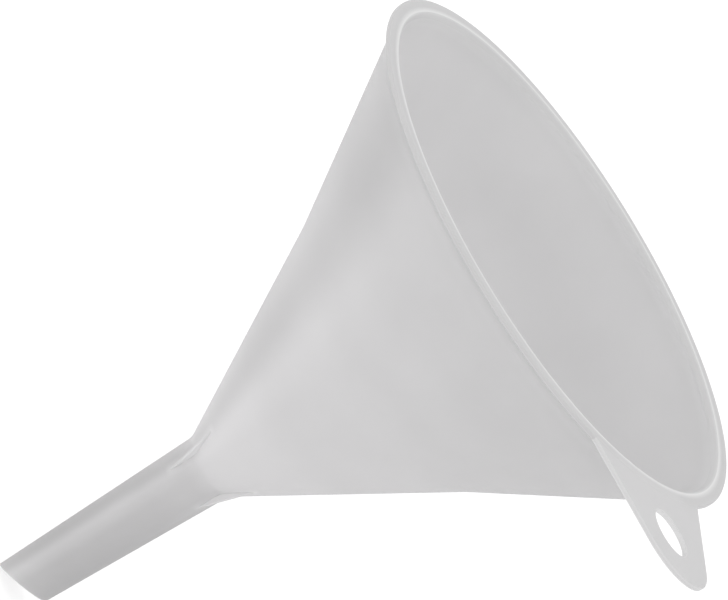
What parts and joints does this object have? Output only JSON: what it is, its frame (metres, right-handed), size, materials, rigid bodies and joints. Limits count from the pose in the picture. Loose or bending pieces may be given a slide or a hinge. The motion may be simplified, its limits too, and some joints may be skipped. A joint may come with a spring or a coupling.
{
  "type": "conical funnel",
  "caption": "Plain conical lab funnel in natural polypropylene, with a flat rim flange, a slanted tapered stem, vent ribs and a tab with a hanging hole.",
  "frame": {"origin": "on the funnel's axis, at the height where the outside of the bowl meets the stem", "axes": "+Z along the axis out of the mouth, +X from the axis towards the hanging tab, +Y across the tab by the right-hand rule"},
  "size_m": [0.1796, 0.15, 0.1753],
  "materials": {
    "rim_pp": "satin natural polypropylene",
    "bowl_pp": "satin natural polypropylene, milky and slightly translucent",
    "stem_pp": "satin natural polypropylene, milky and slightly translucent",
    "rib_1_pp": "satin natural polypropylene",
    "rib_2_pp": "satin natural polypropylene",
    "rib_3_pp": "satin natural polypropylene",
    "rib_4_pp": "satin natural polypropylene",
    "tab_pp": "satin natural polypropylene"
  },
  "bodies": {
    "root": {"rim_flange": "rim_pp", "bowl_cone": "bowl_pp", "stem_tube": "stem_pp", "vent_rib_1": "rib_1_pp", "vent_rib_2": "rib_2_pp", "vent_rib_3": "rib_3_pp", "vent_rib_4": "rib_4_pp", "hanging_tab": "tab_pp"}
  },
  "joints": []
}
